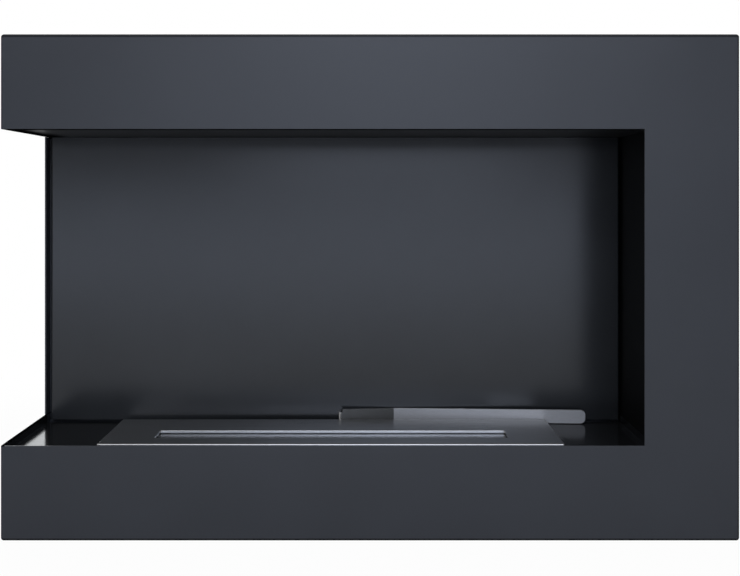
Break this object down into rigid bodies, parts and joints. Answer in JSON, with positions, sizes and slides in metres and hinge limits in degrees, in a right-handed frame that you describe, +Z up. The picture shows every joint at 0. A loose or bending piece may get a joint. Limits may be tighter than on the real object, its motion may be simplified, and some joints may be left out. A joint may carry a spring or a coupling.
{
  "type": "bioethanol fireplace",
  "caption": "Wall-hung or free-standing steel fireplace open at the front and left, with a lift-out slotted bioethanol burner, a sliding shutter and a loose closing tool.",
  "frame": {"origin": "middle of the underside, where the fireplace stands", "axes": "+X to the right seen from the front, +Y from the front face to the wall, +Z up"},
  "size_m": [0.7, 0.2, 0.48],
  "materials": {
    "powder_coat": "satin graphite-black powder coat",
    "firebox_liner": "satin heat-resistant black paint",
    "gloss_tray": "gloss black enamel",
    "galvanised_sheet": "galvanised",
    "zinc_plated_steel": "bright zinc plate",
    "wall_pad_rubber": "matt",
    "burner_steel": "long brushed grain",
    "tank_steel": "mill finish",
    "ceramic_wool": "matt fibre",
    "tool_steel": "fine satin"
  },
  "bodies": {
    "casing": {"front_frame": "powder_coat", "top_cover": "powder_coat", "base_cover": "powder_coat", "side_cover": "powder_coat", "back_panel": "powder_coat", "ceiling_panel": "firebox_liner", "column_liner": "firebox_liner", "rear_liner": "firebox_liner", "hearth_tray": "gloss_tray", "header_brace_left": "galvanised_sheet", "header_brace_right": "galvanised_sheet", "tray_bearer_left": "galvanised_sheet", "tray_bearer_middle": "galvanised_sheet", "tray_bearer_right": "galvanised_sheet", "seam_strip_top": "galvanised_sheet", "seam_strip_base": "galvanised_sheet", "seam_strip_side": "galvanised_sheet", "seam_strip_header_end": "galvanised_sheet", "seam_strip_base_end": "galvanised_sheet", "hanger_plate_left": "zinc_plated_steel", "hanger_plate_right": "zinc_plated_steel", "back_screw_1": "zinc_plated_steel", "back_screw_2": "zinc_plated_steel", "back_screw_3": "zinc_plated_steel", "back_screw_4": "zinc_plated_steel", "back_screw_5": "zinc_plated_steel", "back_screw_6": "zinc_plated_steel", "back_screw_7": "zinc_plated_steel", "back_screw_8": "zinc_plated_steel", "back_screw_9": "zinc_plated_steel", "back_screw_10": "zinc_plated_steel", "liner_stud_1": "zinc_plated_steel", "liner_stud_2": "zinc_plated_steel", "liner_stud_3": "zinc_plated_steel", "liner_stud_4": "zinc_plated_steel", "liner_spacer_1": "zinc_plated_steel", "liner_spacer_2": "zinc_plated_steel", "liner_spacer_3": "zinc_plated_steel", "liner_spacer_4": "zinc_plated_steel", "liner_nut_1": "zinc_plated_steel", "liner_nut_2": "zinc_plated_steel", "liner_nut_3": "zinc_plated_steel", "liner_nut_4": "zinc_plated_steel", "wall_bumper_1": "wall_pad_rubber", "wall_bumper_2": "wall_pad_rubber", "wall_bumper_3": "wall_pad_rubber", "wall_bumper_4": "wall_pad_rubber"},
    "burner": {"burner_plate": "burner_steel", "burner_tank": "tank_steel", "wool_pad_left": "ceramic_wool", "wool_pad_right": "ceramic_wool", "shutter_rail_left": "tank_steel", "shutter_rail_right": "tank_steel"},
    "shutter": {"shutter_plate": "burner_steel"},
    "tool": {"closing_tool": "tool_steel"}
  },
  "joints": [
    {"name": "burner_lift", "type": "slide", "parent": "casing", "child": "burner", "axis": [0, 0, 1], "range_m": [0, 0.12]},
    {"name": "shutter_slide", "type": "slide", "parent": "burner", "child": "shutter", "axis": [0, 1, 0], "range_m": [0, 0.043]},
    {"name": "tool_lift", "type": "slide", "parent": "casing", "child": "tool", "axis": [0, 0, 1], "range_m": [0, 0.2]}
  ]
}
